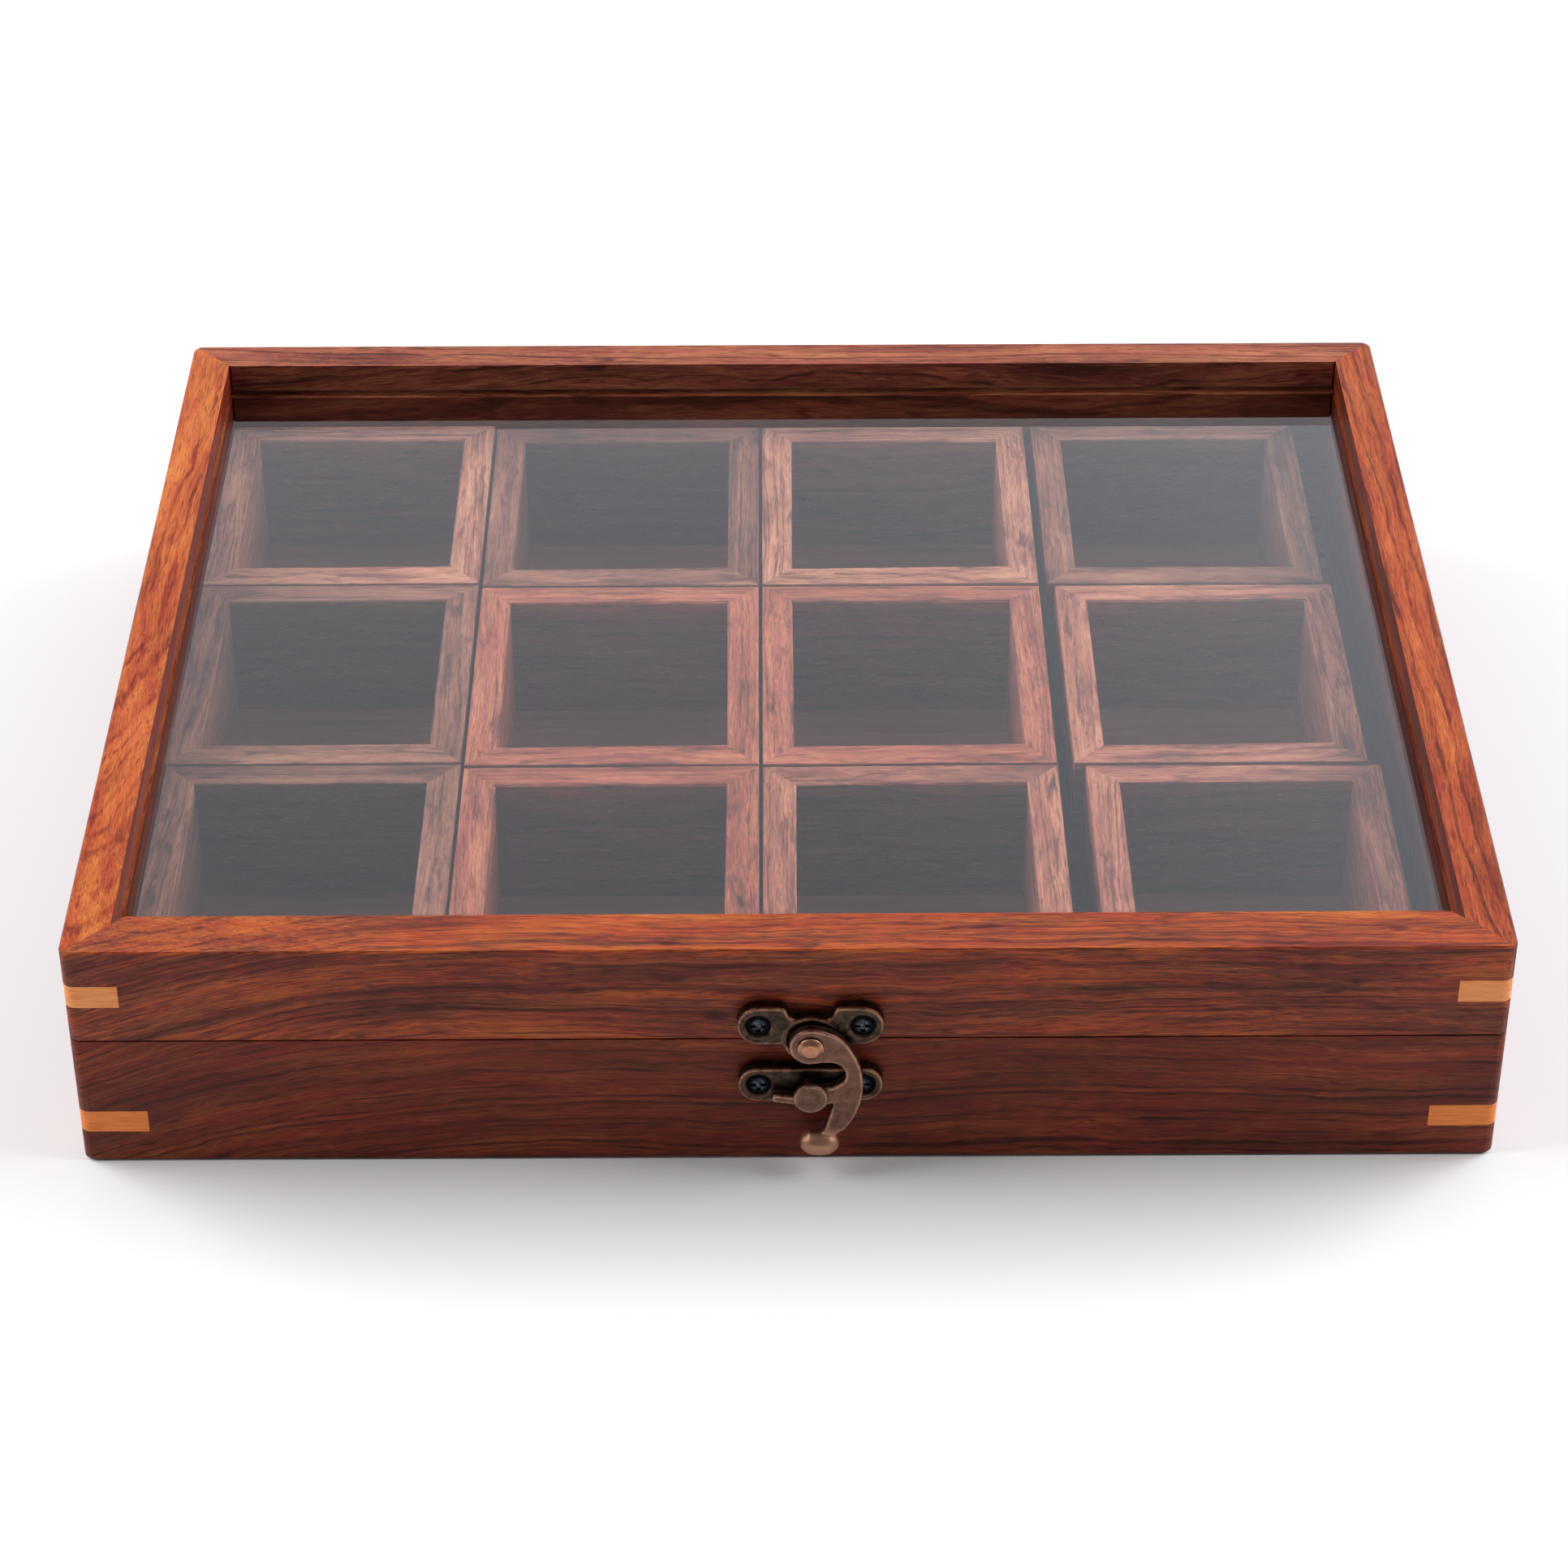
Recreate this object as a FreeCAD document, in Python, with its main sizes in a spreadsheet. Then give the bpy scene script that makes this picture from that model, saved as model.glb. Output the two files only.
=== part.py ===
# Wooden spice box: a mitred hardwood case with a hinged glazed lid, a swing
# latch and twelve loose wooden cups. Millimetres, +Z up, the front towards -Y,
# the origin in the middle of the underside.
import FreeCAD, Part
import math
import os
import re
import Sketcher

doc = FreeCAD.newDocument("spice_box")

# Driving dimensions
driving_sizes = {
    # the case
    "box_width": 300.0,
    "box_depth": 252.5,
    "seam_level": 32.5,
    "seam_gap": 0.4,
    "board": 9.75,
    "corner_round": 2.4,
    "bottom_chamfer": 0.5,
    "panel_thickness": 3.0,
    "rabbet_depth": 4.0,
    # the lid
    "lid_front_board": 12.4,
    "lid_back_board": 10.3,
    "top_chamfer": 0.4,
    "glass_thickness": 3.0,
    "groove_slack": 1.0,
    "groove_depth": 4.0,
    "glass_edge_play": 0.75,
    "rim_above_groove": 7.1,
    # the splines across the corners
    "spline_thickness": 5.5,
    "lid_spline_leg": 11.4,
    "lid_spline_rise": 8.9,
    "base_spline_leg": 14.7,
    "base_spline_rise": 8.0,
    # the cups
    "cup_height": 34.0,
    "cup_wall": 7.2,
    "cup_bottom": 3.0,
    "cup_gap": 0.8,
    "left_gap": 0.35,
    "right_gap": 11.75,
    "back_gap": 3.2,
    "front_gap": 5.6,
    "headroom": 7.6,
    "left_column_shift": 1.3,
    "back_right_shift": 1.3,
    "middle_right_shift": 3.0,
    "front_right_shift": 5.5,
    # the latch plate
    "latch_offset": 4.5,
    "latch_plate": 3.2,
    "pivot_rise": 2.1,
    "ear_spacing": 10.5,
    "ear_rise": 3.5,
    "ear_radius": 4.8,
    "notch_top": 6.2,
    "notch_bottom": 3.3,
    "notch_depth": 3.1,
    "notch_curve": 1.9,
    "boss_radius": 5.8,
    "boss_back": 0.4,
    "boss_proud": 0.2,
    "dish_radius": 4.9,
    "dish_depth": 0.5,
    # the latch rivet
    "rivet_radius": 1.6,
    "rivet_head": 2.8,
    "rivet_edge": 0.3,
    "rivet_dome": 0.9,
    "rivet_slope": 1.2,
    "rivet_play": 0.2,
    # the swinging arm
    "arm_back": 3.7,
    "arm_thickness": 2.2,
    "eye_radius": 4.5,
    "eye_play": 0.05,
    "eye_turn": 70.0,
    "shoulder_radius": 9.27,
    "shoulder_turn": 56.4,
    "bow_radius": 19.6,
    "bow_turn": 83.6,
    "bay_reach": 3.9,
    "bay_drop": 7.45,
    "bay_radius": 3.35,
    "beak_rise": 0.7,
    "neck_play": 0.35,
    "prong_width": 2.0,
    "prong_length": 7.0,
    "prong_tilt": 8.0,
    "root_turn": 18.2,
    "waist_reach": 2.7,
    "waist_drop": 23.1,
    "thumb_reach": 1.9,
    "thumb_drop": 26.0,
    "thumb_half_width": 4.25,
    "thumb_radius": 3.0,
    "thumb_end_drop": 1.5,
    "thumb_crown_in": 1.6,
    # the keeper
    "post_drop": 12.15,
    "keeper_reach": 10.85,
    "keeper_radius": 4.35,
    "neck_radius": 1.2,
    "neck_length": 6.6,
    "post_head": 3.65,
    "post_head_thickness": 1.4,
    # the latch screws
    "screw_reach": 10.85,
    "screw_head": 2.65,
    "screw_shank": 1.3,
    "screw_length": 10.5,
    "screw_sink": 0.3,
    "screw_play": 0.05,
    "cross_half_length": 1.65,
    "cross_half_width": 0.5,
    "cross_depth": 0.5,
    # the hinges
    "hinge_spread": 90.0,
    "hinge_width": 25.0,
    "hinge_leaf": 1.2,
    "hinge_height": 12.0,
    "hinge_relief": 0.3,
    "axis_stand": 2.5,
    "knuckle_radius": 2.2,
    "centre_knuckle": 8.6,
    "knuckle_gap": 0.3,
    "pin_radius": 1.0,
    "pin_play": 0.05,
    "nail_reach": 7.0,
    "nail_head": 1.9,
    "nail_head_thickness": 0.7,
    "nail_half_width": 0.6,
    "nail_length": 8.0,
    "nail_play": 0.05,
}

sizes = doc.addObject("Spreadsheet::Sheet", "Sizes")
for row, (alias, value) in enumerate(driving_sizes.items(), start=1):
    sizes.set(f"A{row}", alias)
    sizes.set(f"B{row}", str(value))
    sizes.setAlias(f"B{row}", alias)
doc.recompute()

# Levels and lengths that follow from the driving dimensions
CUP_FOOT = "panel_thickness"
CUP_RIM = "(panel_thickness + cup_height)"
CUP_WIDTH = "((box_width - 2 * board - left_gap - 3 * cup_gap - right_gap) / 4)"
CUP_DEPTH = "((box_depth - 2 * board - back_gap - 2 * cup_gap - front_gap) / 3)"
BASE_TOP = "(seam_level - seam_gap / 2)"
LID_FOOT = "(seam_level + seam_gap / 2)"
GLASS_LEVEL = f"({CUP_RIM} + headroom)"
GROOVE_TOP = f"({GLASS_LEVEL} + glass_thickness + groove_slack)"
LID_TOP = f"({GROOVE_TOP} + rim_above_groove)"
PIVOT_LEVEL = "(seam_level + pivot_rise)"
POST_LEVEL = "(seam_level + pivot_rise - post_drop)"
SCREW_LEVEL = "(seam_level + pivot_rise + ear_rise)"
NAIL_DROP = "(knuckle_radius + hinge_relief + hinge_height / 2)"

SCREW_SPOTS = [f"latch_offset {sign} screw_reach" for sign in "-+"]
NAIL_SPOTS = [f"0 {side} hinge_spread {sign} nail_reach" for side in "-+" for sign in "-+"]

# The four sides of a frame, anticlockwise from the front. A board is drawn with its
# outer face on Y = 0 and its inside towards +Y, then turned by one more quarter for
# each side and moved to this place.
SIDES = {
    "front": ("0", "-{depth} / 2"),
    "right": ("{width} / 2", "0"),
    "back": ("0", "{depth} / 2"),
    "left": ("-{width} / 2", "0"),
}


# Formulas, sketches and features

# Lengths and volumes that differ by less than this are the same.
SAME = 1e-6


def bound(formula):
    """Put the sheet's name before each size in a formula."""
    return re.sub(r"[a-z]\w*", lambda word: "Sizes." + word[0] if word[0] in driving_sizes else word[0],
                  formula)


def value_of(formula):
    """Work a formula out with the sheet's present values."""
    return float(sizes.evalExpression(bound(formula)))


def bind(thing, **formulas):
    """Tie properties of an object to formulas."""
    for name, formula in formulas.items():
        thing.setExpression(name, bound(formula))


def place(thing, x="0", y="0", z="0", quarters=0):
    """Tie an object's place to formulas, turned about Z by some quarter turns."""
    turn = FreeCAD.Rotation(FreeCAD.Vector(0, 0, 1), 90 * quarters)
    thing.Placement = FreeCAD.Placement(FreeCAD.Vector(), turn)
    for axis, formula in zip("xyz", (x, y, z)):
        thing.setExpression(f"Placement.Base.{axis}", bound(formula))


def place_on_side(board, side, width, depth):
    """Bring a board to one side of a frame of that width and depth."""
    x, y = SIDES[side]
    place(board, x.format(width=width), y.format(depth=depth), quarters=list(SIDES).index(side))


def new_body(label):
    body = doc.addObject("PartDesign::Body", label)
    body.Label = label
    return body


def origin_plane(body, role):
    return next(plane for plane in body.Origin.OriginFeatures if plane.Role == role)


def new_sketch(body, name, plane, level="0", along="0", up="0"):
    """A sketch on one of the body's own planes, moved off it by level and in it by along and up."""
    sketch = body.newObject("Sketcher::SketchObject", name)
    sketch.AttachmentSupport = (origin_plane(body, plane), [""])
    sketch.MapMode = "FlatFace"
    sketch.setExpression("AttachmentOffset.Base.z", bound(level))
    sketch.setExpression("AttachmentOffset.Base.x", bound(along))
    sketch.setExpression("AttachmentOffset.Base.y", bound(up))
    return sketch


def constrain(sketch, kind, formula, *references):
    number = sketch.addConstraint(Sketcher.Constraint(kind, *references, value_of(formula)))
    sketch.setExpression(f"Constraints[{number}]", bound(formula))


def arc_between(start, end, radius, centre_on_right):
    """The minor arc from start to end, with its centre on the named side of the way along it."""
    across, up = end[0] - start[0], end[1] - start[1]
    chord = math.hypot(across, up)
    rise = math.sqrt(max(radius ** 2 - chord ** 2 / 4, 0.0)) * (-1 if centre_on_right else 1)
    centre_x = (start[0] + end[0]) / 2 - rise * up / chord
    centre_y = (start[1] + end[1]) / 2 + rise * across / chord
    first = math.atan2(start[1] - centre_y, start[0] - centre_x)
    last = math.atan2(end[1] - centre_y, end[0] - centre_x)
    if centre_on_right:
        first, last = last, first
    circle = Part.Circle(FreeCAD.Vector(centre_x, centre_y, 0), FreeCAD.Vector(0, 0, 1), radius)
    return Part.ArcOfCircle(circle, first, last)


def draw_outline(sketch, corners):
    """Draw a closed outline whose corners are pairs of formulas.

    A third formula bends the edge to the next corner to that radius. A leading
    minus puts the arc's centre on the right of the way along the outline.
    """
    points = [(value_of(corner[0]), value_of(corner[1])) for corner in corners]
    starts = []
    ends = []
    for number, corner in enumerate(corners):
        start = points[number]
        end = points[(number + 1) % len(points)]
        if len(corner) == 3:
            on_right = corner[2].startswith("-")
            radius = corner[2].lstrip("-")
            edge = sketch.addGeometry(arc_between(start, end, value_of(radius), on_right), False)
            constrain(sketch, "Radius", radius, edge)
            starts.append((edge, 2 if on_right else 1))
            ends.append((edge, 1 if on_right else 2))
        else:
            line = Part.LineSegment(FreeCAD.Vector(*start, 0), FreeCAD.Vector(*end, 0))
            edge = sketch.addGeometry(line, False)
            starts.append((edge, 1))
            ends.append((edge, 2))
    for number, corner in enumerate(corners):
        constrain(sketch, "DistanceX", corner[0], -1, 1, *starts[number])
        constrain(sketch, "DistanceY", corner[1], -1, 1, *starts[number])
        following = starts[(number + 1) % len(starts)]
        sketch.addConstraint(Sketcher.Constraint("Coincident", *ends[number], *following))


def draw_circles(sketch, centres, radius):
    """Draw circles of one radius about centres that are pairs of formulas."""
    for centre in centres:
        middle = FreeCAD.Vector(value_of(centre[0]), value_of(centre[1]), 0)
        edge = sketch.addGeometry(Part.Circle(middle, FreeCAD.Vector(0, 0, 1), value_of(radius)), False)
        constrain(sketch, "Radius", radius, edge)
        constrain(sketch, "DistanceX", centre[0], -1, 1, edge, 3)
        constrain(sketch, "DistanceY", centre[1], -1, 1, edge, 3)


def draw_square(sketch, half):
    """Draw a square about the sketch's own origin."""
    less = f"-({half})"
    draw_outline(sketch, [(less, less), (half, less), (half, half), (less, half)])


def pad(body, sketch, length):
    feature = body.newObject("PartDesign::Pad", sketch.Name + "_pad")
    feature.Profile = sketch
    bind(feature, Length=length)
    doc.recompute()
    return feature


def pocket(body, sketch, depth=None):
    """Cut against the sketch's normal to a depth, or right through on both sides."""
    before = body.Shape.Volume
    feature = body.newObject("PartDesign::Pocket", sketch.Name + "_pocket")
    feature.Profile = sketch
    if depth is None:
        feature.SideType = "Symmetric"
        feature.Type = "ThroughAll"
    else:
        bind(feature, Length=depth)
    doc.recompute()
    if body.Shape.Volume > before - SAME:
        raise RuntimeError(f"{feature.Label} of {body.Label} cuts nothing")


def revolve(body, sketch, axis):
    feature = body.newObject("PartDesign::Revolution", sketch.Name + "_turned")
    feature.Profile = sketch
    feature.ReferenceAxis = (sketch, [axis])
    feature.Angle = 360
    doc.recompute()


def countersink(body, name, places):
    """Countersunk screw holes through a latch plate at pairs of formulas."""
    sketch = new_sketch(body, name, "XZ_Plane", level="latch_plate")
    draw_circles(sketch, places, "screw_shank")
    before = body.Shape.Volume
    feature = body.newObject("PartDesign::Hole", sketch.Name + "_countersunk")
    feature.Profile = sketch
    doc.recompute()
    feature.DepthType = "ThroughAll"
    feature.HoleCutType = "Countersink"
    feature.HoleCutCountersinkAngle = 90
    bind(feature, Diameter="2 * (screw_shank + screw_play)",
         HoleCutDiameter="2 * (screw_head + screw_sink + screw_play)")
    doc.recompute()
    if body.Shape.Volume > before - SAME:
        raise RuntimeError(f"{feature.Label} of {body.Label} cuts nothing")


def chamfer_edges(body, width, chosen):
    """Chamfer the edges of a body's last feature whose bounding boxes pass a test."""
    base = body.Tip
    feature = body.newObject("PartDesign::Chamfer", base.Name + "_chamfer")
    feature.Base = (base, [f"Edge{number}" for number, edge in enumerate(base.Shape.Edges, start=1)
                           if chosen(edge.BoundBox)])
    bind(feature, Size=width)
    doc.recompute()


def gather(label, pieces):
    """Several separate solids that share one node."""
    group = doc.addObject("Part::Compound", label)
    group.Label = label
    group.Links = pieces
    return group


# The case: mitred boards, splines and the bottom panel

def mitred_corners(run, thickness):
    """The plan of a board cut at 45 degrees from its outer corners, which are rounded."""
    cut_back = "corner_round * (1 - sqrt(0.5))"
    return [
        (f"-{run} / 2 + {cut_back}", cut_back, "corner_round"),
        (f"-{run} / 2 + corner_round", "0"),
        (f"{run} / 2 - corner_round", "0", "corner_round"),
        (f"{run} / 2 - {cut_back}", cut_back),
        (f"{run} / 2 - {thickness}", thickness),
        (f"-{run} / 2 + {thickness}", thickness),
    ]


def case_board(label, side, thickness, foot, top, eased, channel, spline):
    """A mitred board with a channel along its inside and a slot for a spline at each end.

    eased is the level of the outer edge that is chamfered, and the chamfer's width.
    """
    body = new_body(label)
    run = "box_width" if side in ("front", "back") else "box_depth"

    outline = new_sketch(body, label + "_plan", "XY_Plane", level=foot)
    draw_outline(outline, mitred_corners(run, thickness))
    pad(body, outline, f"{top} - {foot}")
    eased_level, width = eased
    height = value_of(eased_level)
    outer = value_of("corner_round")
    chamfer_edges(body, width, lambda box: box.YMax < outer and box.ZLength < SAME
                  and abs(box.ZMin - height) < SAME)

    depth, low, high = channel
    channel_end = new_sketch(body, label + "_channel", "YZ_Plane")
    draw_outline(channel_end, [(f"{thickness} - {depth}", low), (thickness, low), (thickness, high),
                               (f"{thickness} - {depth}", high)])
    pocket(body, channel_end)

    leg, spline_foot = spline
    slots = new_sketch(body, label + "_slots", "XY_Plane", level=f"{spline_foot} + spline_thickness")
    draw_outline(slots, [(f"{run} / 2 - {leg}", "0"), (f"{run} / 2", "0"), (f"{run} / 2", leg)])
    draw_outline(slots, [(f"-{run} / 2", "0"), (f"-{run} / 2 + {leg}", "0"), (f"-{run} / 2", leg)])
    pocket(body, slots, "spline_thickness")

    place_on_side(body, side, "box_width", "box_depth")
    return body


def drill_pilots(body, level):
    """The pair of holes in a front board for the screws that come through a plate of the latch."""
    holes = new_sketch(body, body.Label + "_pilots", "XZ_Plane")
    draw_circles(holes, [(spot, level) for spot in SCREW_SPOTS], "screw_shank + screw_play")
    pocket(body, holes, "screw_length - latch_plate + screw_sink + screw_play")


def nail_holes(body, level):
    """The four square holes in a back board for the nails of the hinges."""
    for number, spot in enumerate(NAIL_SPOTS, start=1):
        hole = new_sketch(body, f"{body.Label}_nail_hole_{number}", "XZ_Plane", along=spot, up=level)
        draw_square(hole, "nail_half_width + nail_play")
        pocket(body, hole, "nail_length - hinge_leaf + nail_play")


def corner_splines(label, leg, foot):
    """Four triangular keys, each let in across a corner and trimmed flush with the case."""
    spline = new_body(label + "_front_right")
    plan = new_sketch(spline, label + "_plan", "XY_Plane", level=foot)
    draw_outline(plan, [(f"-{leg}", "0"), ("-corner_round", "0", "corner_round"), ("0", "corner_round"),
                        ("0", leg)])
    pad(spline, plan, "spline_thickness")
    place(spline, "box_width / 2", "-box_depth / 2")
    front_left = doc.addObject("Part::Mirroring", label + "_front_left")
    front_left.Source = spline
    front_left.Normal = FreeCAD.Vector(1, 0, 0)
    front_pair = doc.addObject("Part::Compound", label + "_front_pair")
    front_pair.Links = [spline, front_left]
    back_pair = doc.addObject("Part::Mirroring", label + "_back_pair")
    back_pair.Source = front_pair
    back_pair.Normal = FreeCAD.Vector(0, 1, 0)
    return gather(label, [front_pair, back_pair])


def flat_panel(label, length, width, thickness, level, x="0", y="0"):
    """A plain sheet centred on a point in plan."""
    panel = doc.addObject("Part::Box", label)
    panel.Label = label
    bind(panel, Length=length, Width=width, Height=thickness)
    place(panel, f"{x} - {length} / 2", f"{y} - {width} / 2", level)
    return panel


# The screws of the latch

def latch_screws(label, level):
    """The pair of countersunk cross-head screws through one plate of the latch."""
    pair = []
    top = "-(latch_plate - screw_sink)"
    for name, spot in zip(("left", "right"), SCREW_SPOTS):
        body = new_body(f"{label}_{name}")
        profile = new_sketch(body, f"{label}_{name}_profile", "XY_Plane")
        draw_outline(profile, [
            ("0", top),
            ("screw_head", top),
            ("screw_shank", f"{top} + screw_head - screw_shank"),
            ("screw_shank", f"{top} + screw_length"),
            ("0", f"{top} + screw_length"),
        ])
        revolve(body, profile, "V_Axis")
        cross = new_sketch(body, f"{label}_{name}_cross", "XZ_Plane", level="latch_plate - screw_sink")
        reach = "cross_half_length"
        half = "cross_half_width"
        draw_outline(cross, [
            (reach, f"-{half}"), (reach, half), (half, half), (half, reach), (f"-{half}", reach),
            (f"-{half}", half), (f"-{reach}", half), (f"-{reach}", f"-{half}"), (f"-{half}", f"-{half}"),
            (f"-{half}", f"-{reach}"), (half, f"-{reach}"), (half, f"-{half}"),
        ])
        pocket(body, cross, "cross_depth")
        place(body, spot, "-box_depth / 2", level)
        pair.append(body)
    return gather(label, pair)


# The swing latch on the front

def latch_plate():
    """The upper plate: two ears for the screws and a dished boss that carries the rivet."""
    body = new_body("latch_plate")
    top = "ear_rise + ear_radius"
    outline = new_sketch(body, "plate_outline", "XZ_Plane")
    draw_outline(outline, [
        ("-ear_spacing", "ear_rise - ear_radius"),
        ("ear_spacing", "ear_rise - ear_radius", "ear_radius"),
        ("ear_spacing + ear_radius", "ear_rise", "ear_radius"),
        ("ear_spacing", top),
        ("notch_top", top, "notch_curve"),
        ("(notch_top + notch_bottom) / 2", f"{top} - notch_depth / 2", "-notch_curve"),
        ("notch_bottom", f"{top} - notch_depth"),
        ("-notch_bottom", f"{top} - notch_depth", "-notch_curve"),
        ("-(notch_top + notch_bottom) / 2", f"{top} - notch_depth / 2", "notch_curve"),
        ("-notch_top", top),
        ("-ear_spacing", top, "ear_radius"),
        ("-ear_spacing - ear_radius", "ear_rise", "ear_radius"),
    ])
    pad(body, outline, "latch_plate")
    boss = new_sketch(body, "boss", "XZ_Plane", level="boss_back")
    draw_circles(boss, [("0", "0")], "boss_radius")
    pad(body, boss, "latch_plate + boss_proud - boss_back")
    dish = new_sketch(body, "dish", "XZ_Plane", level="latch_plate + boss_proud")
    draw_circles(dish, [("0", "0")], "dish_radius")
    pocket(body, dish, "dish_depth")
    bore = new_sketch(body, "rivet_bore", "XZ_Plane")
    draw_circles(bore, [("0", "0")], "rivet_radius")
    pocket(body, bore)
    countersink(body, "plate_holes", [("-screw_reach", "ear_rise"), ("screw_reach", "ear_rise")])
    place(body, "latch_offset", "-box_depth / 2", PIVOT_LEVEL)
    return body


def latch_rivet():
    """The domed rivet that the arm turns on."""
    body = new_body("latch_rivet")
    under_head = "arm_back + arm_thickness + rivet_play"
    profile = new_sketch(body, "rivet_profile", "XY_Plane")
    draw_outline(profile, [
        ("0", "-boss_back"),
        ("0", f"-({under_head} + rivet_edge + rivet_dome)"),
        ("rivet_head - rivet_slope", f"-({under_head} + rivet_edge + rivet_dome)"),
        ("rivet_head", f"-({under_head} + rivet_edge)"),
        ("rivet_head", f"-({under_head})"),
        ("rivet_radius", f"-({under_head})"),
        ("rivet_radius", "-boss_back"),
    ])
    revolve(body, profile, "V_Axis")
    place(body, "latch_offset", "-box_depth / 2", PIVOT_LEVEL)
    return body


def latch_arm():
    """The curved arm: an eye, a bowed back, a hook round the keeper post and a thumb knob."""
    body = new_body("latch_arm")
    inner = "(post_drop + neck_radius + neck_play)"
    outer = "(post_drop + neck_radius + neck_play + prong_width)"
    throat = "(neck_radius + neck_play)"
    bow_end = "(shoulder_turn + bow_turn)"
    bow_x = "(shoulder_radius - bow_radius) * sin(shoulder_turn)"
    bow_z = "(eye_radius - shoulder_radius + (shoulder_radius - bow_radius) * cos(shoulder_turn))"
    outline = new_sketch(body, "arm_outline", "XZ_Plane", level="arm_back")
    draw_outline(outline, [
        # round the eye, anticlockwise from its top
        ("0", "eye_radius", "eye_radius"),
        ("-eye_radius", "0", "eye_radius"),
        ("eye_radius * cos(eye_turn)", "-eye_radius * sin(eye_turn)"),
        # the round bay between the eye and the hook
        ("bay_reach", "bay_radius - bay_drop", "-bay_radius"),
        ("bay_reach + bay_radius", "-bay_drop", "-bay_radius"),
        ("bay_reach", "-bay_radius - bay_drop"),
        # the beak, and the throat that closes on the post's neck
        (throat, "beak_rise - post_drop"),
        (throat, "-post_drop", f"-{throat}"),
        # the prong, straight and a little raised towards its round tip
        ("0", f"-{inner}"),
        ("-prong_length * cos(prong_tilt)", f"prong_length * sin(prong_tilt) - {inner}", "prong_width / 2"),
        ("-(prong_length + prong_width / 2) * cos(prong_tilt) - prong_width / 2 * sin(prong_tilt)",
         f"(prong_length + prong_width / 2) * sin(prong_tilt) - prong_width / 2 * cos(prong_tilt) - {inner}",
         "prong_width / 2"),
        ("-prong_length * cos(prong_tilt) - prong_width * sin(prong_tilt)",
         f"prong_length * sin(prong_tilt) - prong_width * cos(prong_tilt) - {inner}"),
        ("0", f"-{outer}", outer),
        (f"{outer} * sin(root_turn)", f"-{outer} * cos(root_turn)"),
        # down to the knob and back up the bow
        ("waist_reach", "-waist_drop"),
        (f"{bow_x} + bow_radius * sin({bow_end})", f"{bow_z} + bow_radius * cos({bow_end})", "bow_radius"),
        ("shoulder_radius * sin(shoulder_turn)",
         "eye_radius - shoulder_radius + shoulder_radius * cos(shoulder_turn)", "shoulder_radius"),
    ])
    pad(body, outline, "arm_thickness")
    bore = new_sketch(body, "eye_bore", "XZ_Plane")
    draw_circles(bore, [("0", "0")], "rivet_radius + eye_play")
    pocket(body, bore)
    # the knob is turned about a level axis
    knob = new_sketch(body, "thumb_knob", "XZ_Plane", level="arm_back + arm_thickness / 2",
                      along="thumb_reach", up="-thumb_drop")
    draw_outline(knob, [
        ("-thumb_half_width", "0"),
        ("thumb_half_width", "0"),
        ("thumb_half_width", "thumb_radius - thumb_end_drop"),
        ("thumb_half_width - thumb_crown_in", "thumb_radius"),
        ("thumb_crown_in - thumb_half_width", "thumb_radius"),
        ("-thumb_half_width", "thumb_radius - thumb_end_drop"),
    ])
    revolve(body, knob, "H_Axis")
    place(body, "latch_offset", "-box_depth / 2", PIVOT_LEVEL)
    return body


def keeper_plate():
    """The lower plate, a strip with round ends that carries the post."""
    body = new_body("keeper_plate")
    outline = new_sketch(body, "keeper_outline", "XZ_Plane")
    draw_outline(outline, [
        ("-keeper_reach", "-keeper_radius"),
        ("keeper_reach", "-keeper_radius", "keeper_radius"),
        ("keeper_reach + keeper_radius", "0", "keeper_radius"),
        ("keeper_reach", "keeper_radius"),
        ("-keeper_reach", "keeper_radius", "keeper_radius"),
        ("-keeper_reach - keeper_radius", "0", "keeper_radius"),
    ])
    pad(body, outline, "latch_plate")
    bore = new_sketch(body, "post_bore", "XZ_Plane")
    draw_circles(bore, [("0", "0")], "neck_radius")
    pocket(body, bore)
    countersink(body, "keeper_holes", [("-screw_reach", "0"), ("screw_reach", "0")])
    place(body, "latch_offset", "-box_depth / 2", POST_LEVEL)
    return body


def keeper_post():
    """The headed post that the hook closes on."""
    body = new_body("keeper_post")
    profile = new_sketch(body, "post_profile", "XY_Plane")
    top = "(neck_length + post_head_thickness)"
    draw_outline(profile, [
        ("0", "0"),
        ("0", f"-{top}"),
        ("post_head", f"-{top}"),
        ("post_head", "-neck_length"),
        ("neck_radius", "-neck_length"),
        ("neck_radius", "0"),
    ])
    revolve(body, profile, "V_Axis")
    place(body, "latch_offset", "-box_depth / 2", POST_LEVEL)
    return body


# The hinges on the back

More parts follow.
